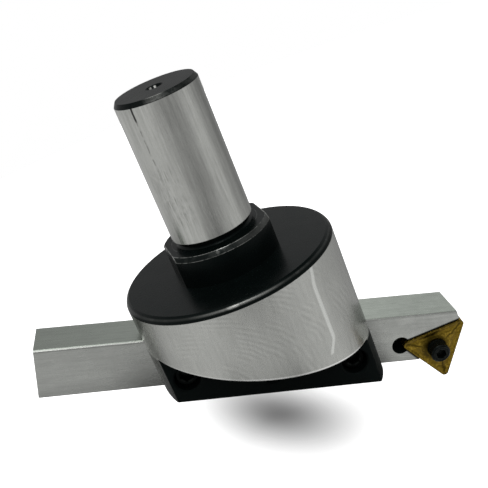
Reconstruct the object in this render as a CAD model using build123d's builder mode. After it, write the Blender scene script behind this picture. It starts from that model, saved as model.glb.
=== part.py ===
"""Fly cutter: a round head on a screwed-in arbor, with an indexable insert on a slanted square bar.

The frame's origin is on the spindle axis, in the middle of the ground part of the shank.
+Z points up the shank and +X along the bar's level run, out towards the insert.
The bar, its slot, the eave and the head's underside share one slant, so they are drawn on the
incline plane, whose x runs down along the bar and whose z stands square to it.
"""

from build123d import *
import math
import os

os.makedirs("parts", exist_ok=True)

# Arbor
shank_r = 12.5
grip_length = 41.8
end_chamfer_radial = 0.8
end_chamfer_axial = 1.35
neck_r = 11.3
neck_length = 2.2
neck_root_edge = 0.6
collar_r = 17.0
collar_height = 9.6
collar_chamfer_radial = 1.0
collar_chamfer_axial = 1.3
collar_chamfer_arc_r = 8.0
flats_across = 30.0
flats_turn = 8.9
spigot_r = 8.95
spigot_length = 15.0
spigot_relief = 2.0
spigot_chamfer = 1.0
centre_mouth_r = 2.6
centre_angle = 60.0
centre_pilot_r = 1.25
centre_pilot_depth = 7.0

# Head, whose slanted levels are drops square to the bar from the middle of its top face
head_r = 32.7
rim_radial = 1.5
rim_axial = 1.95
rim_arc_r = 2.8
slant = 19.1
eave_drop = 24.6
underside_drop = 39.7
facet_y = -13.7
thread_hole_r = 9.0
thread_hole_depth = 17.0
edge_break = 0.3
break_angle = 90.0

# Tool bar and the slot that it slides in
bar_size = 16.0
bar_drop = 22.55
bar_front_y = -5.0
bar_left = -58.6
bar_end_x = 60.1
bar_blank = 140.0
bar_edge = 0.45
bar_rear_edge = 0.95
slide_gap = 0.05

# Clamp screws in the facet
clamp_r = 4.0
clamp_gap = 0.05
clamp_length = 6.0
clamp_pitch = 25.4
clamp_level = 0.5 * (eave_drop + underside_drop)
clamp_mouth_r = 4.5
clamp_socket = 4.0
clamp_socket_depth = 3.0
clamp_edge = 0.7
clamp_cup_r = 2.6
clamp_cup_depth = 1.1
clamp_seat_gap = 0.05

# Triangular insert, its seat and its screw
insert_inradius = 6.35
insert_corner_r = 1.2
insert_thickness = 4.76
insert_hole_r = 2.58
insert_x = 50.8
insert_drop = 54.3
insert_face_y = -5.1
insert_tilt = 6.0
insert_land = 0.35
groove_width = 2.1
groove_depth = 0.4
groove_taper = 40.0
pocket_gap = 0.25
seat_gap = 0.02
flank_relief = 0.8
corner_hole_r = 2.85
corner_hole_inset = 0.2
corner_hole_fall = 0.65
corner_hole_depth = 1.5
screw_r = 1.95
screw_gap = 0.05
screw_grip = 7.2
screw_hole_depth = 9.5
screw_head_r = 3.1
screw_head_height = 4.0
screw_head_edge = 0.55
screw_tip_edge = 0.35
screw_draw = (-0.28, 0.1)
screw_socket = 3.0
screw_socket_depth = 2.1

# Heights along the spindle axis
shank_low = -0.5 * grip_length
shank_high = 0.5 * grip_length
collar_top = shank_low - neck_length
head_top = collar_top - collar_height
shank_end = shank_high + end_chamfer_axial

# Slanted planes: u runs along the bar and w stands square to it
run = math.cos(math.radians(slant))
rise = math.sin(math.radians(slant))
u_dir = (run, 0, -rise)
w_dir = (rise, 0, run)
incline = Plane(origin=(0, 0, head_top), x_dir=u_dir, z_dir=w_dir)
across = Plane(origin=(0, 0, head_top), x_dir=(0, 1, 0), z_dir=u_dir)
facet = Plane(origin=(0, facet_y, head_top), x_dir=u_dir, z_dir=(0, -1, 0))
along_bar = Axis((0, 0, head_top), u_dir)

# The insert's seat, tipped so that the top edge leads and the flanks clear the work
tip_cos = math.cos(math.radians(insert_tilt))
tip_sin = math.sin(math.radians(insert_tilt))
insert_face = Plane(
    origin=(insert_x, insert_face_y, head_top - insert_drop), x_dir=(1, 0, 0), z_dir=(0, -tip_cos, -tip_sin)
)
insert_back = insert_face.offset(-insert_thickness)
seat = insert_back.offset(-seat_gap)

# Size of the slot and of blanks that cuts run out of
slot_top = -(bar_drop - slide_gap)
slot_front_y = bar_front_y - slide_gap
slot_back_y = bar_front_y + bar_size + slide_gap
wall = slot_front_y - facet_y
overrun = 20.0
breakthrough = 1.0
blank_height = 70.0
blank_drop = 30.0
flats_blank = 4 * collar_r
end_cut_depth = 2 * bar_size
clamp_middle_u = clamp_level * rise / run
clamp_us = [clamp_middle_u + step * clamp_pitch for step in (-1, 0, 1)]


def triangle_corners(inradius, facing=1):
    """Corners of the insert's triangle about its centre, from its inscribed circle.

    Facing is 1 on a plane that looks the way the insert does, and -1 on one that looks back.
    """
    half_side = inradius * math.sqrt(3)
    level = facing * inradius
    return [(-half_side, level), (half_side, level), (0, -2 * level)]


# Arbor: centred end, ground shank, relieved neck, spanner collar and the screwed spigot
with BuildPart() as arbor:
    with BuildSketch(Plane.XZ):
        with BuildLine():
            shank_line = Polyline(
                (0, shank_end),
                (shank_r - end_chamfer_radial, shank_end),
                (shank_r, shank_high),
                (shank_r, shank_low),
                (neck_r, shank_low),
                (neck_r, collar_top),
                (collar_r - collar_chamfer_radial, collar_top),
            )
            collar_low_rim = (collar_r, collar_top - collar_chamfer_axial)
            collar_rim = RadiusArc(shank_line @ 1, collar_low_rim, collar_chamfer_arc_r)
            Polyline(
                collar_rim @ 1,
                (collar_r, head_top),
                (spigot_r - spigot_chamfer, head_top),
                (spigot_r - spigot_chamfer, head_top - spigot_relief),
                (spigot_r, head_top - spigot_relief - spigot_chamfer),
                (spigot_r, head_top - spigot_length + spigot_chamfer),
                (spigot_r - spigot_chamfer, head_top - spigot_length),
                (0, head_top - spigot_length),
                shank_line @ 0,
            )
        make_face()
    revolve(axis=Axis.Z)
    neck_edges = arbor.edges().filter_by(GeomType.CIRCLE).filter_by(lambda edge: edge.radius == neck_r)
    chamfer(neck_edges.sort_by(Axis.Z)[0], length=neck_root_edge)
    # Two flats for a spanner, across the collar only
    with BuildSketch(Plane.XY.offset(head_top).rotated((0, 0, flats_turn))):
        Rectangle(flats_blank, flats_blank)
        Rectangle(flats_across, flats_blank, mode=Mode.SUBTRACT)
    extrude(amount=collar_height, mode=Mode.SUBTRACT)
    # Centre hole in the top end, a cone with a pilot below it
    with Locations(Plane.XY.offset(shank_end)):
        CounterSinkHole(
            radius=centre_pilot_r,
            counter_sink_radius=centre_mouth_r,
            depth=centre_pilot_depth,
            counter_sink_angle=centre_angle,
        )
arbor.part.label = "arbor"
export_step(arbor.part, "parts/arbor.step")

# Head: turned blank with a rolled rim, cut off on the slant, stepped under the eave and slotted
with BuildPart() as head:
    with BuildSketch(Plane.XZ):
        with BuildLine():
            top_run = Line((0, head_top), (head_r - rim_radial, head_top))
            rim = RadiusArc(top_run @ 1, (head_r, head_top - rim_axial), rim_arc_r)
            Polyline(rim @ 1, (head_r, head_top - blank_height), (0, head_top - blank_height), (0, head_top))
        make_face()
    revolve(axis=Axis.Z)
    split(bisect_by=incline.offset(-underside_drop), keep=Keep.TOP)
    # Two channels along the slant: the step that leaves the facet under the eave, and the bar's slot
    for front_y, back_y, channel_top in (
        (-head_r - overrun, facet_y, -eave_drop),
        (slot_front_y, slot_back_y, slot_top),
    ):
        with BuildSketch(across):
            with Locations((front_y, -underside_drop - overrun)):
                Rectangle(back_y - front_y, channel_top + underside_drop + overrun, align=Align.MIN)
        extrude(amount=2 * head_r, both=True, mode=Mode.SUBTRACT)
    # The turned face's sharp ends, round the eave and the underside, are broken
    chamfer(head.edges().filter_by(GeomType.ELLIPSE), length=edge_break)
    # Tapped hole for the arbor's spigot
    with Locations(Plane.XY.offset(head_top)):
        CounterSinkHole(
            radius=thread_hole_r,
            counter_sink_radius=thread_hole_r + edge_break,
            depth=thread_hole_depth,
            counter_sink_angle=break_angle,
        )
    # Tapped holes for the clamp screws, through the wall in front of the slot
    with Locations(facet):
        with Locations(*[(u, -clamp_level) for u in clamp_us]):
            CounterSinkHole(
                radius=clamp_r,
                counter_sink_radius=clamp_mouth_r,
                depth=wall + breakthrough,
                counter_sink_angle=break_angle,
            )
head.part.label = "head"
export_step(head.part, "parts/head.step")

# Tool bar: square, edges broken, outer end cut off upright, with the insert's pocket in its front there
with BuildPart() as tool_bar:
    with BuildSketch(across.offset(bar_left)):
        with Locations((bar_front_y + bar_size / 2, -bar_drop - bar_size / 2)):
            Rectangle(bar_size, bar_size)
    extrude(amount=bar_blank)
    split(bisect_by=Plane.YZ.offset(bar_end_x), keep=Keep.BOTTOM)
    long_edges = tool_bar.edges().filter_by(along_bar)
    rear_top = long_edges.sort_by(Axis.Y)[-2:].sort_by(Axis((0, 0, 0), w_dir))[-1]
    chamfer(long_edges.filter_by(lambda edge: not edge.is_same(rear_top)), length=bar_edge)
    rear_top = tool_bar.edges().filter_by(along_bar).sort_by(Axis((0, 0, 0), (rise, 1, run)))[-1]
    chamfer(rear_top, length=bar_rear_edge)
    # Two walls meet behind the insert's inner corner, and the pocket runs out below and beyond
    pocket_reach = insert_inradius + pocket_gap
    wall_corner = (-pocket_reach * math.sqrt(3), pocket_reach)
    with BuildSketch(seat):
        with BuildLine():
            Polyline(
                wall_corner,
                (overrun, pocket_reach),
                (overrun, -blank_drop),
                (wall_corner[0] + overrun, pocket_reach - overrun * math.sqrt(3)),
                close=True,
            )
        make_face()
    extrude(amount=overrun, mode=Mode.SUBTRACT)
    # The end below the pocket's upper wall is cut back along the insert's outer flank
    flank_reach = insert_inradius - flank_relief
    with BuildSketch(seat):
        with BuildLine():
            flank_top = ((flank_reach + pocket_reach / 2) * 2 / math.sqrt(3), pocket_reach)
            flank_low = (flank_top[0] - overrun, pocket_reach - overrun * math.sqrt(3))
            Polyline(flank_top, (overrun, pocket_reach), (overrun, flank_low[1]), flank_low, close=True)
        make_face()
    extrude(amount=-end_cut_depth, mode=Mode.SUBTRACT)
    # Relief hole at the pocket's inner corner, and the tapped hole for the insert's screw
    corner_hole_x = corner_hole_inset - insert_inradius * math.sqrt(3)
    with Locations(insert_face):
        with Locations((corner_hole_x, insert_inradius - corner_hole_fall)):
            Hole(radius=corner_hole_r, depth=insert_thickness + corner_hole_depth)
    with Locations(seat):
        with Locations(screw_draw):
            Hole(radius=screw_r + screw_gap, depth=screw_hole_depth)
tool_bar.part.label = "tool_bar"
export_step(tool_bar.part, "parts/tool_bar.step")

# Insert: thick triangle with rounded corners, a clamped centre and a chip groove inside its edges
with BuildPart() as insert:
    with BuildSketch(insert_back) as insert_outline:
        Polygon(*triangle_corners(insert_inradius), align=None)
        fillet(insert_outline.vertices(), radius=insert_corner_r)
    extrude(amount=insert_thickness)
    for groove_face, facing in ((insert_face, 1), (-insert_back, -1)):
        with BuildSketch(groove_face) as groove_outline:
            Polygon(*triangle_corners(insert_inradius - insert_land, facing), align=None)
            fillet(groove_outline.vertices(), radius=insert_corner_r - insert_land)
            with BuildSketch(groove_face, mode=Mode.SUBTRACT) as island:
                Polygon(*triangle_corners(insert_inradius - insert_land - groove_width, facing), align=None)
                fillet(island.vertices(), radius=insert_corner_r)
        extrude(amount=-groove_depth, taper=groove_taper, mode=Mode.SUBTRACT)
    with Locations(insert_face):
        Hole(radius=insert_hole_r, depth=insert_thickness)
insert.part.label = "insert"
export_step(insert.part, "parts/insert.step")

# Socket-head cap screw through the insert, its head on the insert's front face. It stands a little
# nearer the pocket's inner corner than the insert's middle, so that it draws the insert into the corner.
screw_seat_middle = insert_face.from_local_coords((*screw_draw, seat_gap))
screw_seat = Plane(origin=screw_seat_middle, x_dir=insert_face.x_dir, z_dir=insert_face.z_dir)
with BuildPart() as insert_screw:
    with BuildSketch(screw_seat):
        Circle(screw_head_r)
    extrude(amount=screw_head_height)
    head_rim = insert_screw.faces().sort_by(Axis((0, 0, 0), screw_seat.z_dir))[-1].edges()
    chamfer(head_rim, length=screw_head_edge)
    with BuildSketch(screw_seat):
        Circle(screw_r)
    extrude(amount=-(insert_thickness + screw_grip))
    screw_tip = insert_screw.faces().sort_by(Axis((0, 0, 0), screw_seat.z_dir))[0].edges()
    chamfer(screw_tip, length=screw_tip_edge)
    with BuildSketch(screw_seat.offset(screw_head_height)):
        RegularPolygon(radius=screw_socket / 2, side_count=6, major_radius=False)
    extrude(amount=-screw_socket_depth, mode=Mode.SUBTRACT)
insert_screw.part.label = "insert_screw"
export_step(insert_screw.part, "parts/insert_screw.step")

# Clamp screws: short socket set screws with cup points, sunk in their holes and tight on the bar
clamp_point = facet.offset(-(bar_front_y - clamp_seat_gap - facet_y))
for side, clamp_u in zip(("inner", "middle", "outer"), clamp_us):
    with BuildPart() as clamp_screw:
        with BuildSketch(clamp_point):
            with Locations((clamp_u, -clamp_level)):
                Circle(clamp_r - clamp_gap)
        extrude(amount=clamp_length)
        chamfer(clamp_screw.edges().filter_by(GeomType.CIRCLE), length=clamp_edge)
        with Locations(clamp_point):
            with Locations((clamp_u, -clamp_level)):
                Cone(
                    bottom_radius=clamp_cup_r,
                    top_radius=clamp_cup_r - clamp_cup_depth,
                    height=clamp_cup_depth,
                    align=(Align.CENTER, Align.CENTER, Align.MIN),
                    mode=Mode.SUBTRACT,
                )
        with BuildSketch(clamp_point.offset(clamp_length)):
            with Locations((clamp_u, -clamp_level)):
                RegularPolygon(radius=clamp_socket / 2, side_count=6, major_radius=False)
        extrude(amount=-clamp_socket_depth, mode=Mode.SUBTRACT)
    name = f"clamp_screw_{side}"
    clamp_screw.part.label = name
    export_step(clamp_screw.part, f"parts/{name}.step")
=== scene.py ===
"""Looks of the fly cutter: its materials, its insert and screws in full detail, the stage and the camera.

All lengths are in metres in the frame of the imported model: the spindle axis is Z, the bar runs out
along +X and down, and the cutting face looks along -Y. Sizes written in millimetres are named so.
"""

import math

import bmesh
import bpy
import numpy as np
from mathutils import Matrix, Vector


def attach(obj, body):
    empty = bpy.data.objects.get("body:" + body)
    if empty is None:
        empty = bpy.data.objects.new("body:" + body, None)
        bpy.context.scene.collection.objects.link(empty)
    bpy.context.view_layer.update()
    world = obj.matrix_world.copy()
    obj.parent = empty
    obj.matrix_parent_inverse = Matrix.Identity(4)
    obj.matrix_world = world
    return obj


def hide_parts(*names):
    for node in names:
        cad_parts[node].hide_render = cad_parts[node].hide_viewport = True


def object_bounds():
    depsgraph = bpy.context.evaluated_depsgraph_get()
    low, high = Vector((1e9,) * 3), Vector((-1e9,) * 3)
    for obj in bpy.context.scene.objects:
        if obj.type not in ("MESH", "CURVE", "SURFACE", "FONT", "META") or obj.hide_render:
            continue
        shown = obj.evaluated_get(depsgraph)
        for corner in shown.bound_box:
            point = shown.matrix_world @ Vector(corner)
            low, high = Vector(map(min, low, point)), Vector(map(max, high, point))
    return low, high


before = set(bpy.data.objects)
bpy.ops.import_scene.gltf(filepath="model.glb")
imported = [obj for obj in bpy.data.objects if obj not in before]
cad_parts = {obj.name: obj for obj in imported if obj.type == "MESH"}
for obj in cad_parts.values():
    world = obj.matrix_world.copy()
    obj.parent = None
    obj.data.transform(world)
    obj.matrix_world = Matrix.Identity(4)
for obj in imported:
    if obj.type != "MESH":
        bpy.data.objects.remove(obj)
cad_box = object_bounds()

bl_info = {
    "name": "Fly cutter finish",
    "version": (1, 0, 0),
    "blender": (4, 5, 0),
    "location": "3D View > Sidebar > Fly cutter",
    "description": "Dresses the packed fly cutter and sets its stage",
    "category": "Object",
}

MM = 0.001

# The spindle head and the slanted bar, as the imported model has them, in millimetres
HEAD_TOP = -32.7
HEAD_R = 32.7
SHANK_R = 12.5
SHANK_HALF = 20.9
SHANK_BEVEL = 0.8
COLLAR_R = 17.0
COLLAR_TOP = -23.1
COLLAR_BEVEL = (1.0, 1.3)
NECK_RING_R = 13.4
FLATS_TURN = 8.9
FLATS_HALF = 14.8
SLANT = math.radians(19.1)
BAR_DROP = 22.55
EAVE_DROP = 24.6
CLAMP_LEVEL = 32.15
CLAMP_PITCH = 25.4
CLAMP_POINT_Y = -5.05
INSERT_CENTRE = (50.8, -5.1, HEAD_TOP - 54.3)
INSERT_TILT = math.radians(6.0)
INSERT_CORNERS = (30.0, 150.0, 270.0)
INSERT_R = 6.35
SCREW_DRAW = (-0.28, 0.1)
RELIEF_HOLE = (-10.8, 5.7)
RELIEF_R = 2.85

ALONG_BAR = (math.cos(SLANT), 0.0, -math.sin(SLANT))
SQUARE_TO_BAR = (math.sin(SLANT), 0.0, math.cos(SLANT))
INSERT_OUT = (0.0, -math.cos(INSERT_TILT), -math.sin(INSERT_TILT))
INSERT_UP = (0.0, -math.sin(INSERT_TILT), math.cos(INSERT_TILT))


# Shader maths


class Value:
    """A number or vector in a shader. Arithmetic on it adds Math nodes to its graph."""

    def __init__(self, graph, socket):
        self.graph = graph
        self.socket = socket

    def calc(self, operation, *operands):
        return self.graph.node("ShaderNodeMath", {"operation": operation}, dict(enumerate(operands)))

    def __add__(self, other):
        return self.calc("ADD", self, other)

    def __sub__(self, other):
        return self.calc("SUBTRACT", self, other)

    def __rsub__(self, other):
        return self.calc("SUBTRACT", other, self)

    def __mul__(self, other):
        return self.calc("MULTIPLY", self, other)

    def __truediv__(self, other):
        return self.calc("DIVIDE", self, other)

    def __pow__(self, other):
        return self.calc("POWER", self, other)

    def __abs__(self):
        return self.calc("ABSOLUTE", self)

    __radd__ = __add__
    __rmul__ = __mul__

    def rise(self, low, high):
        """0 below low and 1 above high, with a smooth step between them. High may be the smaller."""
        sockets = {"Value": self, "From Min": low, "From Max": high}
        return self.graph.node("ShaderNodeMapRange", {"interpolation_type": "SMOOTHSTEP"}, sockets)

    def band(self, low, high, soft):
        """1 between low and high, falling to 0 over soft on each side."""
        return self.rise(low - soft, low) * self.rise(high + soft, high)


class Graph:
    """The node tree of one material or world."""

    def __init__(self, owner):
        owner.use_nodes = True
        self.tree = owner.node_tree
        self.tree.nodes.clear()

    def node(self, kind, settings=None, sockets=None, output=0):
        """Adds a node, sets it, fills its sockets with numbers or links, and gives one output."""
        made = self.tree.nodes.new(kind)
        for name, value in (settings or {}).items():
            if name == "stops":
                self.set_stops(made.color_ramp, value)
            else:
                setattr(made, name, value)
        for name, value in (sockets or {}).items():
            if isinstance(value, Value):
                self.tree.links.new(value.socket, made.inputs[name])
            else:
                made.inputs[name].default_value = value
        return Value(self, made.outputs[output]) if made.outputs else None

    @staticmethod
    def set_stops(ramp, stops):
        """Gives a ramp its stops, each a place from 0 to 1 and a grey or a colour."""
        while len(ramp.elements) < len(stops):
            ramp.elements.new(1.0)
        for element, (place, tone) in zip(ramp.elements, stops):
            element.position = place
            element.color = colour(tone)

    def split(self, vector):
        """The three numbers of a vector."""
        x = self.node("ShaderNodeSeparateXYZ", None, {0: vector})
        return [Value(self, output) for output in x.socket.node.outputs]

    def along(self, vector, direction):
        """How far a point lies along a direction."""
        sockets = {0: vector, 1: direction}
        return self.node("ShaderNodeVectorMath", {"operation": "DOT_PRODUCT"}, sockets, "Value")

    def place_mm(self):
        """Object coordinates in millimetres."""
        coordinates = self.node("ShaderNodeTexCoord", None, None, "Object")
        return self.node("ShaderNodeVectorMath", {"operation": "SCALE"}, {0: coordinates, "Scale": 1 / MM})

    def join(self, x, y, z):
        """A vector of three numbers."""
        return self.node("ShaderNodeCombineXYZ", None, {0: x, 1: y, 2: z})

    def noise(self, vector, scale, detail=3.0, roughness=0.55, stretch=(1, 1, 1)):
        """Cloudy noise about 0.5, drawn out along an axis where stretch is small."""
        placed = self.node("ShaderNodeMapping", None, {"Vector": vector, "Scale": stretch})
        sockets = {"Vector": placed, "Scale": scale, "Detail": detail, "Roughness": roughness}
        return self.node("ShaderNodeTexNoise", None, sockets)

    def mix(self, factor, first, second, blend="MIX"):
        """First where the factor is 0 and second where it is 1, as colours."""
        first, second = (value if isinstance(value, Value) else colour(value) for value in (first, second))
        settings = {"data_type": "RGBA", "blend_type": blend}
        return self.node("ShaderNodeMix", settings, {0: factor, 6: first, 7: second}, 2)

    def tone(self, base, factor):
        """A colour made lighter or darker by a factor about 1."""
        base = base if isinstance(base, Value) else colour(base)[:3]
        return self.node("ShaderNodeVectorMath", {"operation": "SCALE"}, {0: base, "Scale": factor})

    def larger(self, first, second):
        """The larger of two numbers, up to 1."""
        return self.node("ShaderNodeMath", {"operation": "MAXIMUM", "use_clamp": True}, {0: first, 1: second})

    def surface(self, shader):
        self.node("ShaderNodeOutputMaterial", None, {"Surface": shader})


def colour(tone):
    """A grey or an RGB colour as the four numbers that a colour socket takes."""
    return (tone, tone, tone, 1.0) if isinstance(tone, (int, float)) else (*tuple(tone)[:3], 1.0)


def new_material(name):
    material = bpy.data.materials.new(name)
    return material, Graph(material)


def dress(node, material):
    """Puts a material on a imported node, in place of all that it came with."""
    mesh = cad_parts[node].data
    mesh.materials.clear()
    mesh.materials.append(material)
    mesh.polygons.foreach_set("material_index", np.zeros(len(mesh.polygons), np.int32))
    mesh.update()


# Finishes

# The thin reflection of black oxide, faintly green
OXIDE_LEVEL = 0.1
OXIDE_TINT = (0.85, 1.0, 0.97, 1.0)

# How deep the bump of a finish looks
BUMP_DEPTH = 0.02 * MM

# What the head's faint swirls are moved by, in millimetres, so that their middle lies off the wall
SWIRL_SHIFT = (14.0, 20.0, 62.0)

# Bearings of single marks, in degrees from the front: on the shank, its end's chamfer and the head's wall
SEAM_TURN = -38.6
SCRATCHES_TURN = -30.0
END_SPOT_TURN = -2.0
# On the head's wall, a painted light streak and a painted dark stripe
PAINTED_STREAK_TURN = 37.1
STRIPE_TURN = -65.0

# Painted highlights on the head's rim: bearing, half the length in millimetres, and how bare the steel is
# there
RIM_SPOTS = ((-5.0, 2.6, 0.8), (-3.0, 18.0, 0.3), (31.5, 1.2, 0.16))

# Colours of single marks
SEAM_TONE = (0.035, 0.035, 0.033)
SPECK_TONE = (0.03, 0.034, 0.031)
# The streak on the head's wall is a painted reflection, and the eave's edge partly a painted highlight
PAINTED_STREAK_TONE = (0.86, 0.875, 0.84)
EDGE_TONE = (1.0, 1.0, 0.98)
BAR_TOP_TINT = (0.965, 1.03, 0.975)
RUBBED_SCREW_TONE = (0.3, 0.31, 0.27, 1.0)


def ground_steel(graph, place, tint, grain_stretch, contrast):
    """Colour, roughness and lines of ground steel: grinding lines, grain and soft clouding."""
    lines = graph.noise(place, 4.5, 3.0, 0.7, grain_stretch)
    broad = graph.noise(place, 1.1, 2.0, 0.5, grain_stretch)
    grain = graph.noise(place, 2.2, 3.0, 0.75)
    clouds = graph.noise(place, 0.16, 3.0, 0.6)
    streaks = (lines - 0.5) * 0.6 + (broad - 0.5) * 0.5
    factor = 1.0 + (streaks + (grain - 0.5) * 0.26) * contrast + (clouds - 0.5) * 0.16
    roughness = 0.22 + (lines - 0.5) * 0.1 + (clouds - 0.5) * 0.08
    return graph.tone(tint, factor), roughness, lines


def black_oxide(graph, place, tint):
    """Colour and roughness of blackened steel: faint clouding and specks."""
    clouds = graph.noise(place, 0.2, 4.0, 0.6)
    specks = graph.noise(place, 3.0, 2.0, 0.6).rise(0.64, 0.78)
    shade = graph.tone(tint, 0.6 + clouds * 0.8)
    return graph.mix(specks * 0.06, shade, SPECK_TONE), 0.2 + clouds * 0.14 + specks * 0.08


def part_blackened(graph, silver, steel, steel_rough, black, black_rough, height):
    """The shader of a body whose steel is bare where silver is 1 and blackened where it is 0."""
    bump = graph.node("ShaderNodeBump", None, {"Strength": 0.35, "Distance": BUMP_DEPTH, "Height": height})
    bare = {"Base Color": steel, "Metallic": 1.0, "Roughness": steel_rough, "Normal": bump}
    oxide = {"Base Color": black, "Roughness": black_rough, "Normal": bump, "Specular IOR Level": OXIDE_LEVEL,
             "Specular Tint": OXIDE_TINT}
    shaders = [graph.node("ShaderNodeBsdfPrincipled", None, sockets) for sockets in (oxide, bare)]
    graph.surface(graph.node("ShaderNodeMixShader", None, {0: silver, 1: shaders[0], 2: shaders[1]}))


def toward(x, y, degrees):
    """How far a point lies along the direction that is so many degrees from the first axis to the second.

    With a bearing from the front it is the distance to that bearing's right, and with 90 degrees less
    it is the distance out along the bearing.
    """
    turn = math.radians(degrees)
    return x * math.cos(turn) + y * math.sin(turn)


def arbor_material(finish):
    """Ground shank with a seam and scratches, blackened end, neck and collar with rubbed edges."""
    material, graph = new_material("ground_arbor")
    place = graph.place_mm()
    x, y, z = graph.split(place)
    radius = (x * x + y * y) ** 0.5
    ragged = (graph.noise(place, 0.9, 3.0) - 0.5) * 0.04
    ground = (radius + ragged).rise(SHANK_R - 0.14, SHANK_R - 0.1)
    ground = ground * z.rise(SHANK_HALF + 0.03, SHANK_HALF - 0.03) * z.rise(-SHANK_HALF - 0.1, -SHANK_HALF)
    steel, steel_rough, lines = ground_steel(graph, place, finish.steel, (1, 1, 0.05), 1.0)

    # A fine broken seam down the shank: strong near the end, then thin, then gone
    facing = toward(x, y, SEAM_TURN - 90).rise(0.0, 1.0)
    wander = (graph.noise(place, 0.3, 2.0, 0.5, (0.1, 0.1, 1)) - 0.5) * 0.7
    broken = graph.noise(place, 0.42, 2.0, 0.6, (0.02, 0.02, 1)).rise(0.46, 0.56)
    near_end = z.rise(15.8, 17.6)
    fading = near_end * 0.5 + z.rise(-6.0, 6.0) * 0.5
    broken = graph.larger(broken, near_end)
    beside = abs(toward(x, y, SEAM_TURN) + wander)
    seam = (beside - near_end * 0.14).rise(0.3, 0.06) * broken * facing * fading

    # Many short fine scratches low down, spread round the front
    low_facing = toward(x, y, SCRATCHES_TURN - 90).rise(2.0, 6.0)
    scratches = graph.noise(place, 7.0, 1.0, 0.5, (1, 1, 0.03)).rise(0.55, 0.64)
    patch = toward(x, y, SCRATCHES_TURN).band(-4.0, 1.5, 3.0) * z.band(-13.0, 0.0, 4.5) * low_facing
    patch = patch * graph.noise(place, 0.5, 2.0).rise(0.36, 0.56)
    marks = graph.larger(seam * 0.96, scratches * patch * 0.5)
    steel = graph.mix(marks, steel, SEAM_TONE)

    # Rubbed lines where the flats and the chamfer meet the collar's top, and painted sheens on both chamfers
    black, black_rough = black_oxide(graph, place, finish.black)
    bevel_width, bevel_height = COLLAR_BEVEL
    above_bevel = z - COLLAR_TOP + bevel_height
    past_top = radius - COLLAR_R + bevel_width
    sloping = past_top.calc("MAXIMUM", past_top, 0.0)
    crest = abs(z - (COLLAR_TOP - sloping * bevel_height)).rise(0.3, 0.1)
    patchiness = graph.noise(place, 0.7, 3.0).rise(0.36, 0.6)
    flat_line = abs(toward(x, y, FLATS_TURN)).rise(FLATS_HALF - 0.1, FLATS_HALF + 0.1) * crest
    flat_line = flat_line * (0.35 + patchiness * 0.65)
    on_top = z.rise(COLLAR_TOP - 0.3, COLLAR_TOP - 0.1) * z.rise(COLLAR_TOP + 0.3, COLLAR_TOP + 0.1)
    inner_line = abs(past_top).rise(0.14, 0.03) * on_top
    outer_line = abs(above_bevel).rise(0.14, 0.03) * radius.rise(COLLAR_R - 0.15, COLLAR_R - 0.05)
    neck_line = abs(radius - NECK_RING_R).rise(0.12, 0.03) * on_top
    rings = graph.larger(graph.larger(inner_line * 0.5, outer_line * 0.34), neck_line * 0.16)
    worn = graph.larger(flat_line * 0.75, rings * (0.15 + patchiness))
    bevel = above_bevel.rise(-0.05, 0.05) * past_top.rise(0.0, 0.1) * z.rise(-20.0, -22.0)
    # A painted glint on the collar's chamfer, whose painted sheen grows to the right
    glint = (abs(x + 1.2) + abs(z - COLLAR_TOP + 0.6)).rise(0.9, 0.3)
    patchy = graph.noise(place, 0.3, 3.0).rise(0.45, 0.65)
    bevel = bevel * (0.006 + patchy * 0.03 + x.rise(2.0, 12.0) * 0.13 + glint * 0.12)
    end_place = toward(x, y, END_SPOT_TURN)
    end_slope = z.rise(SHANK_HALF + 0.08, SHANK_HALF + 0.25) * radius.rise(SHANK_R - 0.85, SHANK_R - 0.7)
    inner_rim = abs(radius - SHANK_R + SHANK_BEVEL).rise(0.16, 0.04)
    inner_rim = inner_rim * z.rise(SHANK_HALF + 1.1, SHANK_HALF + 1.25)
    chips = graph.noise(place, 0.9, 3.0, 0.6).rise(0.4, 0.62)
    spot = abs(end_place + 0.4).rise(3.8, 1.0) * graph.larger(end_slope * (0.25 + chips * 0.4), inner_rim)
    # A painted sheen on the end's chamfer, lighter to the right
    sheen = end_slope * (x.rise(-6.0, 5.0) * 0.05 + 0.004) * (0.4 + patchiness)

    # Two bare patches on the far wall of the centre hole's cone make painted glints
    cone = radius.rise(2.5, 2.35) * z.rise(19.0, 20.0) * y.rise(0.3, 0.9)
    glints = cone * graph.larger(abs(x - 0.2).rise(0.42, 0.2), abs(x + 1.2).rise(0.45, 0.2))
    bare = graph.larger(graph.larger(worn, glints), spot * 0.4 + sheen + bevel)
    silver = graph.larger(ground, bare)
    height = lines * 0.25 * silver - marks * 2.0 + (graph.noise(place, 2.2, 4.0) - 0.5) * (1.0 - silver)
    part_blackened(graph, silver, steel, steel_rough, black, black_rough, height)
    return material


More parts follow.
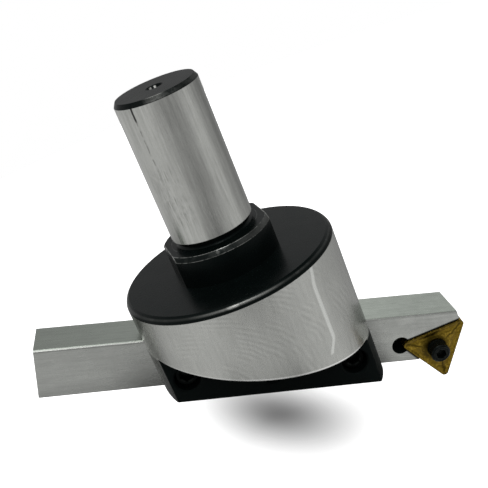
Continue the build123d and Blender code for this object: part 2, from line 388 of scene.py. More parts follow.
def head_material(finish):
    """Turned outside left bright, and the rest blackened, with threads in the clamp holes."""
    material, graph = new_material("blackened_head")
    place = graph.place_mm()
    x, y, z = graph.split(place)
    radius = (x * x + y * y) ** 0.5
    ragged = (graph.noise(place, 1.2, 3.0) - 0.5) * 0.06
    ground = (radius + ragged).rise(HEAD_R - 0.33, HEAD_R - 0.27) * z.rise(HEAD_TOP - 1.85, HEAD_TOP - 1.98)
    steel, steel_rough, lines = ground_steel(graph, place, finish.steel, (1, 1, 0.12), 0.45)

    # Patches of faint swirls that the grinding left
    swirl_place = graph.node("ShaderNodeMapping", None, {"Vector": place, "Location": SWIRL_SHIFT})
    rings = {"wave_type": "RINGS", "rings_direction": "SPHERICAL"}
    sockets = {"Vector": swirl_place, "Scale": 0.24, "Distortion": 4.0, "Detail": 2.0, "Detail Scale": 0.5}
    swirl = graph.node("ShaderNodeTexWave", rings, sockets)
    patches = graph.noise(place, 0.11, 3.0).rise(0.48, 0.62)
    steel = graph.tone(steel, 1.0 + (swirl - 0.5) * patches * 0.14)

    # A painted reflection: a narrow light streak down the wall, with a hook at its foot
    drop = graph.along(place, SQUARE_TO_BAR) - HEAD_TOP * math.cos(SLANT)
    run = graph.along(place, ALONG_BAR) + HEAD_TOP * math.sin(SLANT)
    hook = z.rise(-56.5, -61.5)
    line_place = toward(x, y, PAINTED_STREAK_TURN) + hook * 2.6 - z.rise(-41.0, -33.5) * 1.3
    painted_streak = abs(line_place).rise(0.95, 0.3) * z.band(-60.8, -30.0, 0.5)
    painted_streak = painted_streak * x.rise(0.0, 5.0) * y.rise(0.0, -5.0)
    steel = graph.mix(painted_streak * 0.85, steel, PAINTED_STREAK_TONE)
    # The bright break of the eave's edge, with a painted highlight that grows to the right
    at_eave = abs(drop + EAVE_DROP - 0.42).rise(0.36, 0.16) * y.rise(-13.0, -14.0)
    steel = graph.mix(at_eave * (0.3 + x.rise(-25.0, 15.0) * 0.7), steel, EDGE_TONE)

    # Beside the facet, below the eave, the wall is darker and mostly blackened; on its far left lies a
    # painted dark stripe, and beside the slot painted shade.
    beside_facet = drop.rise(-EAVE_DROP - 0.2, -EAVE_DROP - 0.5) * y.rise(2.0, -4.0)
    steel = graph.tone(steel, 1.0 - beside_facet * 0.35)
    ground = ground * (1.0 - beside_facet * (x.rise(0.0, 10.0) * 0.6 + 0.38))
    stripe = abs(toward(x, y, STRIPE_TURN)).rise(4.6, 1.6) * x.rise(0.0, -10.0)
    near_slot = x.rise(20.0, 30.0) * drop.rise(-BAR_DROP + 12.0, -BAR_DROP + 2.0) * y.rise(-16.0, -10.0)
    steel = graph.tone(steel, 1.0 - (patches * 0.4 + 0.6) * near_slot * 0.5 - stripe * 0.36)
    ground = graph.larger(ground, at_eave * radius.rise(HEAD_R - 0.5, HEAD_R - 0.35))

    # The rim's rolled edge is rubbed bare thinly all along, a painted sheen, and more at the listed places,
    # painted highlights
    rim = abs(radius - HEAD_R + 0.55).rise(0.4, 0.1) * z.rise(HEAD_TOP - 1.4, HEAD_TOP - 0.7)
    rubbed = rim * (graph.noise(place, 0.16, 3.0, 0.6).rise(0.42, 0.7) * 0.09 + 0.07)
    for turn, half_length, share in RIM_SPOTS:
        worn = abs(toward(x, y, turn)).rise(half_length, half_length * 0.3) * y.rise(0.0, -10.0)
        rubbed = graph.larger(rubbed, rim * worn * share)

    black, black_rough = black_oxide(graph, place, finish.black)
    silver = graph.larger(ground, rubbed)

    # Threads of the three clamp holes: the height goes round and along each hole as a helix
    from_middle = run - CLAMP_LEVEL * math.tan(SLANT)
    steps = from_middle / CLAMP_PITCH
    beside = from_middle - steps.calc("ROUND", steps) * CLAMP_PITCH
    below = drop + CLAMP_LEVEL
    hole = ((beside * beside + below * below) ** 0.5).rise(4.2, 4.05) * y.band(-13.5, -5.0, 0.1)
    turns = y / finish.clamp_thread_mm + below.calc("ARCTAN2", below, beside) / math.tau
    thread = turns.calc("PINGPONG", turns, 0.5)
    fine = lines * 0.25 * ground + (graph.noise(place, 2.2, 4.0) - 0.5) * (1.0 - ground)
    black_rough = black_rough + beside_facet * 0.35
    part_blackened(graph, silver, steel, steel_rough + 0.05, black, black_rough, fine + thread * hole * 24.0)
    return material


def bar_material(finish):
    """Ground square bar: lines along it, mottling towards the insert, a greener top, painted light and shade,
    a relief hole painted black.
    """
    material, graph = new_material("bar_steel")
    place = graph.place_mm()
    x, y, z = graph.split(place)
    run = graph.along(place, ALONG_BAR) + HEAD_TOP * math.sin(SLANT)
    drop = graph.along(place, SQUARE_TO_BAR) - HEAD_TOP * math.cos(SLANT)
    barwise = graph.join(run, y, drop)
    steel, rough, lines = ground_steel(graph, barwise, finish.bar, (0.06, 1, 1), 0.6)
    mottle = graph.noise(place, 0.3, 4.0, 0.7)
    outer = run.rise(15.0, 36.0)
    blotches = (mottle - 0.5) * (0.16 + 0.3 * outer)
    steel = graph.tone(steel, 0.93 + 0.2 * outer - 0.1 * run.rise(46.0, 62.0) + blotches)

    # The top is greener, and darker away from the insert, painted shade
    sunk = -BAR_DROP - drop
    top = sunk.rise(0.3, 0.1)
    steel = graph.mix(top * (0.9 - outer * 0.86), steel, graph.tone(steel, 0.78))
    steel = graph.mix(top, steel, graph.mix(1.0, steel, BAR_TOP_TINT, "MULTIPLY"))
    front = y.rise(-4.0, -4.5)
    # Painted highlight on the front's top chamfer away from the insert, painted shade on it towards the
    # insert
    bevel = front * sunk.band(0.1, 0.42, 0.08)
    # Painted shade on the bottom chamfer, low on the front and on the underside
    under = front * sunk.band(0.5, 0.85, 0.12)
    shade = bevel * (1.0 - outer) * 0.3 - bevel * outer * 0.3 - under * (0.25 - outer * 0.1)
    shade = shade - front * sunk.rise(10.0, 15.4) * 0.14 - sunk.rise(15.5, 15.7) * 0.45
    steel = graph.tone(steel, 1.0 + shade)

    # A painted shadow of the gap follows the insert's two seated sides
    insert_x, insert_y, insert_z = INSERT_CENTRE
    across = x - insert_x
    up = (y - insert_y) * INSERT_UP[1] + (z - insert_z) * INSERT_UP[2]
    outside = up.calc("MAXIMUM", up, toward(across, up, 210)) - INSERT_R
    gap_shadow = outside.rise(0.75, 0.3) * outside.rise(-0.3, 0.0) * front * run.rise(30.0, 34.0)
    steel = graph.tone(steel, 1.0 - gap_shadow * 0.88)

    # The relief hole at the pocket's corner is painted black inside, painted shade in the hollow
    side, rise = across - RELIEF_HOLE[0], up - RELIEF_HOLE[1]
    inside = ((side * side + rise * rise) ** 0.5).rise(RELIEF_R + 0.14, RELIEF_R + 0.02) * y.rise(-4.97, -4.9)
    black, black_rough = black_oxide(graph, place, finish.black)
    part_blackened(graph, 1.0 - inside, steel, rough + 0.04, black, black_rough, lines + (mottle - 0.5) * 3.0)
    return material


def insert_material(finish):
    """Gold nitride coating: streaked, and painted shade in the groove, round the screw, in creases and on the
    edge.
    """
    material, graph = new_material("coated_carbide")
    place = graph.place_mm()
    depth = graph.node("ShaderNodeAttribute", {"attribute_name": "groove"}, None, "Fac")
    edge = graph.node("ShaderNodeAttribute", {"attribute_name": "edge"}, None, "Fac")
    grain = graph.noise(place, 4.0, 4.0, 0.7)
    clouds = graph.noise(place, 0.45, 4.0, 0.6)
    x, _, z = graph.split(place)
    across, up = x - INSERT_CENTRE[0], z - INSERT_CENTRE[2]
    beside, above = across + 0.9, up - 0.8
    from_shade_centre = (beside * beside + above * above) ** 0.5
    streaks = graph.noise(place, 1.3, 4.0, 0.7)
    gold = graph.tone(finish.gold, 0.7 + grain * 0.6)
    gold = graph.mix(streaks.rise(0.46, 0.62) * 0.7, gold, finish.gold_shade)
    gold = graph.mix(streaks.rise(0.48, 0.36) * 0.7, gold, graph.tone(finish.gold, 2.0))
    # Painted shade in the chip groove
    gold = graph.mix(depth * (clouds.rise(0.4, 0.62) * 0.6 + 0.2), gold, finish.gold_shade)

    # Painted shade: a shadow and a dark reflection round the screw, and a dark crease towards each corner
    painted_shade = from_shade_centre.rise(5.5, 3.4) * (0.55 + clouds * 0.5)
    for corner in INSERT_CORNERS:
        ragged = toward(across, up, corner + 90) + (clouds - 0.5) * 2.4
        crease = abs(ragged).rise(0.55, 0.1) * toward(across, up, corner).band(4.5, 10.2, 1.2)
        painted_shade = graph.larger(painted_shade, crease * 0.75)
    gold = graph.mix(painted_shade, gold, finish.gold_in_shade)
    # Painted shade along the honed edge
    gold = graph.mix(edge * (0.7 + grain * 0.3), gold, finish.gold_edge_shade)
    bump = graph.node("ShaderNodeBump", None, {"Strength": 0.25, "Distance": BUMP_DEPTH, "Height": grain})
    sockets = {"Base Color": gold, "Metallic": 1.0, "Roughness": 0.3 + grain * 0.16, "Normal": bump}
    graph.surface(graph.node("ShaderNodeBsdfPrincipled", None, sockets))
    return material


def screw_material(finish):
    """Blackened screws with lighter rubbed edges."""
    material, graph = new_material("black_screws")
    place = graph.place_mm()
    black, rough = black_oxide(graph, place, finish.screw)
    rubbed = graph.node("ShaderNodeAttribute", {"attribute_name": "edge"}, None, "Fac")
    rubbed = rubbed * graph.noise(place, 1.7, 3.0).rise(0.3, 0.7)
    height = (graph.noise(place, 4.0) - 0.5) * 0.6
    part_blackened(graph, rubbed * 0.12, RUBBED_SCREW_TONE, rough, black, rough, height)
    return material


# Surfaces


def placed(across, up, out, origin, x_dir, y_dir, z_dir):
    """Points in a local frame, in millimetres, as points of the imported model's frame, in metres."""
    axes = np.array([x_dir, y_dir, z_dir], float)
    return (np.stack([across, up, out], -1) @ axes + np.array(origin, float)) * MM


def surface_piece(name, points, marks, material, closed_rows, sharp_angle=32.0):
    """A mesh from a grid of points, rows by columns, whose columns close on themselves.

    Rows close too where closed_rows is set, and else the first and last row shrink to a point.
    Marks are arrays of one number for each row, kept as attributes for the material.
    """
    rows, columns = points.shape[:2]
    row, column = np.meshgrid(np.arange(rows if closed_rows else rows - 1), np.arange(columns), indexing="ij")
    next_row, next_column = (row + 1) % rows, (column + 1) % columns
    quads = np.stack([row * columns + column, row * columns + next_column,
                      next_row * columns + next_column, next_row * columns + column], -1).reshape(-1, 4)
    mesh = bpy.data.meshes.new(name)
    mesh.from_pydata(points.reshape(-1, 3), [], quads)
    for mark, values in marks.items():
        layer = mesh.attributes.new(mark, "FLOAT", "POINT")
        layer.data.foreach_set("value", np.repeat(values, columns).astype(np.float32))
    work = bmesh.new()
    work.from_mesh(mesh)
    bmesh.ops.remove_doubles(work, verts=work.verts, dist=1e-7)
    bmesh.ops.recalc_face_normals(work, faces=work.faces)
    work.to_mesh(mesh)
    work.free()
    mesh.polygons.foreach_set("use_smooth", np.ones(len(mesh.polygons), bool))
    mesh.set_sharp_from_angle(angle=math.radians(sharp_angle))
    mesh.materials.append(material)
    piece = bpy.data.objects.new(name, mesh)
    bpy.context.scene.collection.objects.link(piece)
    return piece


def triangle_ring(inradius, corner_r, corner_points=14, side_points=22):
    """Points round a triangle with rounded corners, one flat side up.

    Each corner is an arc of corner_r about a point on the line to the corner, as far out as leaves
    the sides at inradius from the centre, and straight sides join the arcs.
    """
    towards = np.radians(INSERT_CORNERS)[:, None]
    turn = np.radians(np.linspace(-60.0, 60.0, corner_points))[None, :]
    reach = 2 * (inradius - corner_r)
    arcs = np.stack([reach * np.cos(towards) + corner_r * np.cos(towards + turn),
                     reach * np.sin(towards) + corner_r * np.sin(towards + turn)], -1)
    share = np.linspace(0, 1, side_points + 2)[None, 1:-1, None]
    sides = arcs[:, -1:, :] * (1 - share) + np.roll(arcs, -1, 0)[:, :1, :] * share
    return np.concatenate([arcs, sides], 1).reshape(-1, 2)


def insert_piece(finish):
    """The insert: rings carried from the hole across the face, down the flank and back inside.

    Each ring is a rounded triangle or a circle at one height. From the edge inwards the face has a
    narrow land, a groove whose depth follows half a sine wave, and a level middle round the hole.
    """
    thickness, inradius, corner_r, hole_r, hone = 4.76, 6.347, 1.2, 2.58, 0.06
    land, groove_width, groove_depth = 0.35, 2.1, finish.groove_depth_mm
    guide = triangle_ring(3.9, 1.2)
    heading = guide / np.linalg.norm(guide, axis=1, keepdims=True)
    rings, heights, groove, edge = [], [], [], []

    def add(ring, height, in_groove=0.0, on_edge=0.0):
        rings.append(ring)
        heights.append(height)
        groove.append(in_groove)
        edge.append(on_edge)

    def face_rings():
        add(heading * hole_r, -0.25, 0.3, 0.2)
        add(heading * (hole_r + 0.05), -0.08, 0.2, 0.6)
        add(heading * (hole_r + 0.22), 0.0, 0.1, 0.4)
        add(heading * (hole_r + 0.7), 0.0, 0.15)
        for share in np.linspace(1.0, 0.0, 18):
            inset = land + groove_width * share
            sunk = math.sin(math.pi * share) ** 0.85 if 0 < share < 1 else 0.0
            corner = max(corner_r - inset, 0.0) + 1.0 * share + 0.12
            add(triangle_ring(inradius - inset, corner), -groove_depth * sunk, sunk)
        for part in np.linspace(0.0, 1.0, 5):
            inset, fall = hone * (1 - math.sin(part * math.pi / 2)), hone * (1 - math.cos(part * math.pi / 2))
            add(triangle_ring(inradius - inset, corner_r - inset), -fall, 0.0, 1.0)

    face_rings()
    front = len(rings)
    for depth in (0.5, 1.6, 2.38, 3.16, 4.26):
        add(triangle_ring(inradius, corner_r), -depth)
    middle = len(rings)
    face_rings()
    order = list(range(middle)) + list(range(len(rings) - 1, middle - 1, -1))
    signs = np.array([1.0] * middle + [-1.0] * front)
    ring_points = np.stack([rings[i] for i in order])
    height = np.array([heights[i] for i in order])
    height = np.where(signs > 0, height, -thickness - height)
    out = np.repeat(height[:, None], ring_points.shape[1], 1)
    across, up = ring_points[..., 0], ring_points[..., 1]
    points = placed(across, up, out, INSERT_CENTRE, (1, 0, 0), INSERT_UP, INSERT_OUT)
    marks = {"groove": np.array(groove)[order], "edge": np.array(edge)[order]}
    piece = surface_piece("insert_body", points, marks, insert_material(finish), True, 40.0)
    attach(piece, "insert")
    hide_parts("insert")
    return piece


# Points round each kind of screw, and how deep its thread is in millimetres
INSERT_SCREW_COLUMNS, INSERT_THREAD_DEPTH = 144, 0.36
CLAMP_SCREW_COLUMNS, CLAMP_THREAD_DEPTH = 72, 0.5


def hexagon(turn, half_across):
    """Radius of a hexagon in a direction: half its width across flats over the cosine to the nearest flat."""
    return half_across / np.cos((turn + math.pi / 6) % (math.pi / 3) - math.pi / 6)


def screw_piece(name, body, node, rows, origin, x_dir, y_dir, z_dir, columns, pitch, depth, teeth, material):
    """A screw from its profile, with a hexagon socket and a thread.

    A row is (kind, radius, height, rubbed), from the socket's middle to the tip's. A plain row is a
    circle and a socket row a hexagon. A knurl row's radius is lessened by a wave round it, and a thread
    row's by a wave that advances one pitch a turn.
    """
    turn = np.linspace(0, math.tau, columns, endpoint=False)
    kinds = np.array([row[0] for row in rows])[:, None]
    radius, height, rubbed = (np.array([row[part] for row in rows], float) for part in (1, 2, 3))
    around, radius = np.broadcast_arrays(turn[None, :], radius[:, None])
    height = np.broadcast_to(height[:, None], around.shape)
    wave = np.abs((height / pitch + around / math.tau) % 1.0 - 0.5) * 2
    radius = np.where(kinds == "thread", radius - depth * np.clip(1.15 - 1.3 * wave, 0, 1), radius)
    ridges = np.abs((around * teeth / math.tau) % 1.0 - 0.5) * 2
    radius = np.where(kinds == "knurl", radius - 0.13 * ridges, radius)
    radius = np.where(kinds == "socket", hexagon(around, 1.0) * radius, radius)
    points = placed(radius * np.cos(around), radius * np.sin(around), height, origin, x_dir, y_dir, z_dir)
    piece = surface_piece(name, points, {"edge": rubbed}, material, False)
    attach(piece, body)
    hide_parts(node)
    return piece


def insert_screw_rows(finish):
    """Profile of the socket-head cap screw that holds the insert, from its seat's level."""
    head_r, head, edge, socket_r, shank_r, tip = 3.1, 4.0, 0.55, 1.5, 1.95, -11.96
    floor = head - 2.1
    face_r, side = head_r - edge, head - edge
    rows = [("plain", 0.0, floor - 0.45, 0), ("plain", 0.9, floor - 0.1, 0),
            ("socket", socket_r - 0.08, floor, 0), ("socket", socket_r, floor + 0.08, 0),
            ("socket", socket_r, head - 0.3, 0), ("socket", socket_r, head - 0.16, 0.4),
            ("plain", 1.84, head, 0.5), ("plain", 2.1, head, 0.1),
            ("plain", face_r - 0.14, head, 0.1), ("plain", face_r - 0.04, head, 0.9),
            ("plain", face_r + 0.04, head - 0.04, 0.9), ("plain", face_r + 0.12, head - 0.12, 0.0),
            ("plain", head_r - 0.12, side + 0.12, 0.0), ("plain", head_r - 0.04, side + 0.04, 0.9),
            ("plain", head_r, side - 0.04, 0.9), ("plain", head_r, head - 0.75, 0.1),
            ("knurl", head_r, head - 0.85, 0.1), ("knurl", head_r, 0.35, 0.1), ("plain", head_r, 0.28, 0.1),
            ("plain", head_r - 0.2, 0.0, 0), ("plain", shank_r + 0.35, 0.0, 0),
            ("plain", shank_r + 0.1, -0.1, 0), ("plain", shank_r, -0.35, 0), ("plain", shank_r, -3.2, 0)]
    heights = np.arange(-3.4, tip + 0.5, -finish.insert_thread_mm / 8)
    rows += [("thread", shank_r, height, 0) for height in heights]
    return rows + [("plain", shank_r - 0.42, tip + 0.3, 0), ("plain", shank_r - 0.6, tip, 0),
                   ("plain", 0.0, tip, 0)]


def clamp_screw_rows(finish):
    """Profile of a socket set screw with a cup point: heights run from its point, back to its socket."""
    outer, length, socket_r = 3.95, 6.0, 2.0
    floor = length - 3.0
    rows = [("plain", 0.0, floor - 0.5, 0), ("plain", 1.2, floor - 0.1, 0),
            ("socket", socket_r - 0.08, floor, 0), ("socket", socket_r, floor + 0.1, 0),
            ("socket", socket_r, length - 0.35, 0),
            ("socket", socket_r, length - 0.2, 0.1), ("plain", 2.42, length, 0.15), ("plain", 2.6, length, 0),
            ("plain", outer - 0.75, length, 0.05), ("plain", outer - 0.62, length - 0.1, 0.05)]
    heights = np.arange(length - 0.5, 0.8, -finish.clamp_thread_mm / 8)
    rows += [("thread", outer, height, 0) for height in heights]
    return rows + [("plain", outer - 0.68, 0.7, 0), ("plain", 2.9, 0.05, 0.1), ("plain", 2.75, 0.0, 0.2),
                   ("plain", 2.6, 0.05, 0.1), ("plain", 1.5, 1.1, 0), ("plain", 0.0, 1.1, 0)]


# Stage

# Brightness of the cards round the object, by the bearing in degrees from the front, +X side positive
FAR_CARDS = ((-180, 0.12), (-158, 0.42), (-144, 0.51), (-118, 0.50), (-62, 0.575), (-30, 0.52), (-8, 0.385),
             (3, 0.31), (26, 0.29), (42, 0.36), (52, 0.475), (66, 0.53), (78, 0.56), (88, 0.375), (104, 0.32),
             (114, 0.30), (124, 0.20), (142, 0.235), (158, 0.29), (180, 0.12))
NEAR_CARDS = ((-180, 0.255), (-150, 0.265), (-132, 0.21), (-114, 0.17), (-103, 0.30), (-94, 0.46),
              (-80, 0.50), (-60, 0.555), (-40, 0.58), (-14, 0.55), (14, 0.50), (36, 0.515), (58, 0.56),
              (66, 0.59), (76, 0.48), (84, 0.44), (100, 0.42), (116, 0.355), (130, 0.31), (150, 0.22),
              (180, 0.24))
UPPER_CARDS = ((-180, 0.46), (-165, 0.44), (-120, 0.50), (-90, 0.50), (-40, 0.32), (0, 0.24), (60, 0.20),
               (110, 0.40), (140, 0.68), (160, 0.66), (172, 0.58), (180, 0.46))
TOP_CARDS = ((-180, 0.06), (-135, 0.25), (-110, 0.50), (-90, 0.50), (-60, 0.60), (-8, 0.85), (50, 0.85),
             (75, 0.40), (95, 0.08), (180, 0.06))

# Where one ring of cards gives way to the next: the first two by the sine of the height above level, and
# on the low disc by the distance from the spindle axis, in millimetres
UPPER_FROM = (0.05, 0.35)
TOP_FROM = (0.56, 0.72)
FAR_FROM = (205.0, 245.0)

# How light the floor is to a lamp, and the dark part of the low cards
FLOOR_TONE = 0.5
DARK_CARD = 0.04

# Rays that come straight from the camera, through glass too
STRAIGHT_RAYS = ("Camera", "Transmission")

# A small bright card for the rolled rim: its bearing, height and radius in degrees
HIGHLIGHT = (2.0, 66.0, 7.0)

# Bearing and height of the soft lamp, in degrees
LAMP_PLACE = (21.0, 60.0)

# The soft shadow under the head: where the floor is darkest, how its length and its width lie on the floor,
# level and upright as the camera sees them, and how far out the floor's white takes over, in millimetres
SHADOW_CENTRE = (-6.6, 35.5)
SHADOW_LENGTH = (0.925, -0.144)
SHADOW_WIDTH = (1.18, 1.09)
SHADOW_FADE = (0.0, 45.2)


def cards(graph, x, y, tones):
    """Brightness by bearing: the angle round Z from the front picks a place on a ramp of soft cards."""
    bearing = x.calc("ARCTAN2", x, 0.0 - y) / math.tau + 0.5
    stops = [((degrees + 180) / 360, tone) for degrees, tone in tones]
    return graph.node("ShaderNodeValToRGB", {"stops": stops}, {0: bearing})


def ray_is(graph, *kinds):
    """1 for a ray of any of these kinds, such as Camera, Transmission or Glossy, and else 0."""
    return sum(graph.node("ShaderNodeLightPath", None, None, f"Is {kind} Ray") for kind in kinds)


def sky_direction(bearing, height):
    """The direction at a bearing from the front and a height above level, both in degrees."""
    turn, up = math.radians(bearing), math.radians(height)
    return math.sin(turn) * math.cos(up), -math.cos(turn) * math.cos(up), math.sin(up)


def spot(graph, direction, bearing, elevation, size):
    """1 within a soft round patch of the sky, size degrees across its radius, and 0 outside it."""
    centre = sky_direction(bearing, elevation)
    outer, inner = (math.cos(math.radians(size * share)) for share in (1.3, 0.7))
    return graph.along(direction, centre).rise(outer, inner)


def add_world(stage):
    """White to the camera, rings of soft cards to shiny surfaces, and an even grey to dull ones."""
    world = bpy.data.worlds.new("studio")
    bpy.context.scene.world = world
    graph = Graph(world)
    direction = graph.node("ShaderNodeTexCoord", None, None, "Generated")
    x, y, z = graph.split(direction)
    seen = graph.mix(z.rise(*UPPER_FROM), cards(graph, x, y, FAR_CARDS), cards(graph, x, y, UPPER_CARDS))
    seen = graph.mix(z.rise(*TOP_FROM), seen, cards(graph, x, y, TOP_CARDS))
    seen = graph.mix(spot(graph, direction, *HIGHLIGHT), seen, stage.highlight)
    tone = graph.mix(ray_is(graph, "Glossy"), stage.even_light, seen)
    tone = graph.mix(ray_is(graph, *STRAIGHT_RAYS), tone, 1.0)
    background = graph.node("ShaderNodeBackground", None, {"Color": tone, "Strength": 1.0})
    graph.node("ShaderNodeOutputWorld", None, {"Surface": background})


def disc(name, size, level, material):
    """A flat disc at a level: rings of points about the spindle axis, closer near the middle."""
    radius = np.array([0.0, 0.05, 0.1, 0.2, 0.4, size])[:, None]
    turn = np.linspace(0, math.tau, 96, endpoint=False)[None, :]
    points = np.stack([radius * np.cos(turn), radius * np.sin(turn), level + 0 * radius * turn], -1)
    piece = surface_piece(name, points, {}, material, False)
    return piece


def add_floor(stage):
    """A pale floor under the bar's lowest reach, whose white fades in round the shadow."""
    material, graph = new_material("pale_floor")
    x, y, _ = graph.split(graph.place_mm())
    lit = graph.node("ShaderNodeBsdfDiffuse", None, {"Color": colour(FLOOR_TONE)})
    shadow_x, shadow_y = SHADOW_CENTRE
    beside, behind = x - shadow_x, y - shadow_y
    level, upright = (beside * axis[0] + behind * axis[1] for axis in (SHADOW_LENGTH, SHADOW_WIDTH))
    away = (level * level + upright * upright) ** 0.5
    glow = ray_is(graph, *STRAIGHT_RAYS) * (stage.floor_glow + away.rise(*SHADOW_FADE))
    glow = graph.tone(1.0, glow)
    shine = graph.node("ShaderNodeEmission", None, {"Color": glow, "Strength": 1.0})
    graph.surface(graph.node("ShaderNodeAddShader", None, {0: lit, 1: shine}))
    floor = disc("floor", stage.floor_radius, cad_box[0].z - stage.floor_gap - stage.floor_drop, material)
    floor.visible_glossy = False


def add_low_cards(stage):
    """A disc of cards under the insert's tip, which only shiny surfaces see."""
    material, graph = new_material("low_cards")
    x, y, _ = graph.split(graph.place_mm())
    distance = (x * x + y * y) ** 0.5
    near, far = cards(graph, x, y, NEAR_CARDS), cards(graph, x, y, FAR_CARDS)
    seen = graph.mix(distance.rise(*FAR_FROM), near, far)

    # What the collar's front and the facet mirror is dark
    for_collar = distance.band(184.0, 215.0, 12.0) * abs(x).rise(110.0, 60.0) * y.rise(-100.0, -140.0)
    for_facet = x.band(-56.0, 34.0, 6.0) * y.band(-84.0, -24.0, 8.0)
    seen = graph.mix(graph.larger(for_collar, for_facet), seen, DARK_CARD)
    graph.surface(graph.node("ShaderNodeBsdfDiffuse", None, {"Color": seen}))
    low_cards = disc("low_cards", stage.floor_radius, cad_box[0].z - stage.floor_gap, material)
    for kind in ("camera", "diffuse", "transmission", "shadow"):
        setattr(low_cards, f"visible_{kind}", False)


def add_lamp(name, bearing, height, spread, power):
    """A broad soft light from a bearing and height in degrees, which shiny surfaces don't mirror."""
    lamp = bpy.data.lights.new(name, "SUN")
    lamp.angle = spread
    lamp.energy = power
    back = Vector(sky_direction(bearing, height))
    holder = bpy.data.objects.new(name, lamp)
    holder.matrix_world = Matrix.Translation(back) @ back.to_track_quat("Z", "Y").to_matrix().to_4x4()
    holder.visible_glossy = False
    bpy.context.scene.collection.objects.link(holder)


def add_camera(stage):
    """The photograph's camera: its place, its bearing, dip and roll, and its lens."""
    yaw, dip, roll = (getattr(stage, name) for name in ("camera_yaw", "camera_dip", "camera_roll"))
    forward = Vector((math.sin(yaw) * math.cos(dip), math.cos(yaw) * math.cos(dip), math.sin(dip)))
    level = Vector((math.cos(yaw), -math.sin(yaw), 0))
    below = forward.cross(level)
    right = level * math.cos(roll) + below * math.sin(roll)
    down = below * math.cos(roll) - level * math.sin(roll)
    camera = bpy.data.cameras.new("camera")
    camera.sensor_width = 36.0
    camera.lens = stage.camera_lens
    camera.clip_start = 0.01
    camera.clip_end = 20.0
    holder = bpy.data.objects.new("camera", camera)
    axes = Matrix((right, -down, -forward)).transposed().to_4x4()
    holder.matrix_world = Matrix.Translation(Vector(stage.camera_place)) @ axes
    bpy.context.scene.collection.objects.link(holder)
    bpy.context.scene.camera = holder


# What a user may change


class CutterFinish(bpy.types.PropertyGroup):
    """Colours and small sizes of the cutter's pieces."""

    steel: bpy.props.FloatVectorProperty(
        name="Ground steel", description="Colour of the ground shank and head",
        subtype="COLOR", size=3, default=(0.55, 0.558, 0.53), min=0, max=1)
    bar: bpy.props.FloatVectorProperty(
        name="Bar steel", description="Colour of the tool bar",
        subtype="COLOR", size=3, default=(0.475, 0.487, 0.462), min=0, max=1)
    black: bpy.props.FloatVectorProperty(
        name="Black oxide", description="Colour of the blackened faces",
        subtype="COLOR", size=3, default=(0.0013, 0.0023, 0.0022), min=0, max=1)
    screw: bpy.props.FloatVectorProperty(
        name="Screws", description="Colour of the blackened screws",
        subtype="COLOR", size=3, default=(0.0016, 0.0020, 0.0018), min=0, max=1)
    gold: bpy.props.FloatVectorProperty(
        name="Gold coating", description="Colour of the insert's coating",
        subtype="COLOR", size=3, default=(0.325, 0.218, 0.03), min=0, max=1)
    # Dark streaks, and the painted shade of the chip groove
    gold_shade: bpy.props.FloatVectorProperty(
        name="Gold in the groove", description="Coating in the chip groove",
        subtype="COLOR", size=3, default=(0.165, 0.108, 0.011), min=0, max=1)
    # Painted shade on the honed edge
    gold_edge_shade: bpy.props.FloatVectorProperty(
        name="Gold on the edge", description="Coating on the honed edge",
        subtype="COLOR", size=3, default=(0.06, 0.044, 0.01), min=0, max=1)
    # Painted shadow and dark reflection round the screw
    gold_in_shade: bpy.props.FloatVectorProperty(
        name="Stain", description="Coating stained round the screw",
        subtype="COLOR", size=3, default=(0.04, 0.028, 0.004), min=0, max=1)
    groove_depth_mm: bpy.props.FloatProperty(
        name="Chip groove", description="Depth of the chip groove, in millimetres",
        default=0.4, min=0.1, max=0.6)
    insert_thread_mm: bpy.props.FloatProperty(
        name="Insert screw's pitch", description="Thread pitch, in millimetres",
        default=0.7, min=0.3, max=1.5)
    clamp_thread_mm: bpy.props.FloatProperty(
        name="Clamp screws' pitch", description="Thread pitch, in millimetres",
        default=1.0, min=0.5, max=2.0)
    knurl_teeth: bpy.props.IntProperty(
        name="Knurl", description="Ridges round the insert screw's head",
        default=36, min=12, max=72)


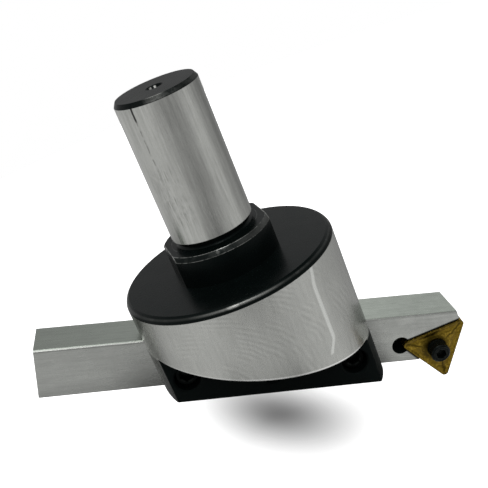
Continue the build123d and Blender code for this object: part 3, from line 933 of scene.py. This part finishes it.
class CutterStage(bpy.types.PropertyGroup):
    """Light, floor, low cards and camera."""

    lamp_power: bpy.props.FloatProperty(
        name="Lamp", description="Strength of the soft lamp",
        default=2.9, min=0)
    lamp_spread: bpy.props.FloatProperty(
        name="Lamp's spread", description="How broad the soft lamp looks",
        subtype="ANGLE", unit="ROTATION", default=math.radians(64), min=0)
    even_light: bpy.props.FloatProperty(
        name="Even light", description="Light that comes from all round",
        default=0.32, min=0, max=1)
    floor_glow: bpy.props.FloatProperty(
        name="Floor's glow", description="Added to the floor where the camera sees it",
        default=0.02, min=0, max=1)
    highlight: bpy.props.FloatProperty(
        name="Highlight", description="Brightness of the card that lights the rim",
        default=5.0, min=0)
    floor_radius: bpy.props.FloatProperty(
        name="Floor's radius", description="Radius of the floor's disc",
        subtype="DISTANCE", unit="LENGTH", default=0.6, min=0.45)
    floor_gap: bpy.props.FloatProperty(
        name="Low cards' gap", description="Gap under the insert's lowest point",
        subtype="DISTANCE", unit="LENGTH", default=0.0005, min=0)
    floor_drop: bpy.props.FloatProperty(
        name="Floor's drop", description="Room for the bar when it slides out and down",
        subtype="DISTANCE", unit="LENGTH", default=0.0125, min=0)
    camera_place: bpy.props.FloatVectorProperty(
        name="Camera's place", description="Where the camera stands",
        subtype="TRANSLATION", unit="LENGTH", size=3, default=(0.004326, -0.240944, 0.067488))
    camera_yaw: bpy.props.FloatProperty(
        name="Camera's bearing", description="Turn of its view from +Y towards +X",
        subtype="ANGLE", unit="ROTATION", default=0.00907)
    camera_dip: bpy.props.FloatProperty(
        name="Camera's dip", description="Tilt of its view, down where negative",
        subtype="ANGLE", unit="ROTATION", default=-0.38840)
    camera_roll: bpy.props.FloatProperty(
        name="Camera's roll", description="Turn about its line of view",
        subtype="ANGLE", unit="ROTATION", default=0.38867)
    camera_lens: bpy.props.FloatProperty(
        name="Camera's lens", description="Focal length in millimetres",
        default=64.584, min=10)


# Operators


class StageOperator(bpy.types.Operator):
    """Sets the world, the floor, the low cards, the lamp and the camera"""

    bl_idname = "cutter.set_stage"
    bl_label = "Set the stage"

    def execute(self, context):
        stage = context.scene.cutter_stage
        context.scene.view_settings.view_transform = "Standard"
        add_world(stage)
        add_floor(stage)
        add_low_cards(stage)
        add_lamp("key_lamp", *LAMP_PLACE, stage.lamp_spread, stage.lamp_power)
        add_camera(stage)
        return {"FINISHED"}


class BodyOperator(bpy.types.Operator):
    """Finishes the arbor, the head and the tool bar"""

    bl_idname = "cutter.finish_bodies"
    bl_label = "Finish the arbor, head and bar"

    def execute(self, context):
        finish = context.scene.cutter_finish
        dress("arbor", arbor_material(finish))
        dress("head", head_material(finish))
        dress("tool_bar", bar_material(finish))
        return {"FINISHED"}


class InsertOperator(bpy.types.Operator):
    """Makes the triangular insert"""

    bl_idname = "cutter.make_insert"
    bl_label = "Make the insert"

    def execute(self, context):
        insert_piece(context.scene.cutter_finish)
        return {"FINISHED"}


class ScrewOperator(bpy.types.Operator):
    """Makes the insert's screw and the three clamp screws"""

    bl_idname = "cutter.make_screws"
    bl_label = "Make the screws"

    def execute(self, context):
        finish = context.scene.cutter_finish
        material = screw_material(finish)
        seat = placed(*SCREW_DRAW, 0.02, INSERT_CENTRE, (1, 0, 0), INSERT_UP, INSERT_OUT) / MM
        screw_piece("insert_cap_screw", "insert_screw", "insert_screw", insert_screw_rows(finish), seat,
                    (1, 0, 0), INSERT_UP, INSERT_OUT, INSERT_SCREW_COLUMNS, finish.insert_thread_mm,
                    INSERT_THREAD_DEPTH, finish.knurl_teeth, material)
        for step, side in zip((-1, 0, 1), ("inner", "middle", "outer")):
            run = CLAMP_LEVEL * math.tan(SLANT) + step * CLAMP_PITCH
            centre = np.array((0, CLAMP_POINT_Y, HEAD_TOP)) + run * np.array(ALONG_BAR)
            centre = centre - CLAMP_LEVEL * np.array(SQUARE_TO_BAR)
            screw_piece(f"set_screw_{side}", f"clamp_{side}", f"clamp_screw_{side}", clamp_screw_rows(finish),
                        centre, ALONG_BAR, SQUARE_TO_BAR, (0, -1, 0), CLAMP_SCREW_COLUMNS,
                        finish.clamp_thread_mm, CLAMP_THREAD_DEPTH, 0, material)
        return {"FINISHED"}


class CutterPanel(bpy.types.Panel):
    """Lists the cutter's operators and settings"""

    bl_idname = "CUTTER_PT_finish"
    bl_label = "Fly cutter"
    bl_space_type = "VIEW_3D"
    bl_region_type = "UI"
    bl_category = "Fly cutter"

    def draw(self, context):
        for operator in OPERATORS:
            self.layout.operator(operator.bl_idname)
        for group in (context.scene.cutter_finish, context.scene.cutter_stage):
            box = self.layout.box()
            for name in group.__annotations__:
                box.prop(group, name)


OPERATORS = (StageOperator, BodyOperator, InsertOperator, ScrewOperator)
CLASSES = (CutterFinish, CutterStage, *OPERATORS, CutterPanel)


def register():
    for each in CLASSES:
        bpy.utils.register_class(each)
    bpy.types.Scene.cutter_finish = bpy.props.PointerProperty(type=CutterFinish)
    bpy.types.Scene.cutter_stage = bpy.props.PointerProperty(type=CutterStage)


def unregister():
    del bpy.types.Scene.cutter_stage
    del bpy.types.Scene.cutter_finish
    for each in reversed(CLASSES):
        bpy.utils.unregister_class(each)


def main():
    """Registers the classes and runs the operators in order."""
    register()
    bpy.ops.cutter.set_stage()
    bpy.ops.cutter.finish_bodies()
    bpy.ops.cutter.make_insert()
    bpy.ops.cutter.make_screws()


if __name__ == "__main__":
    main()
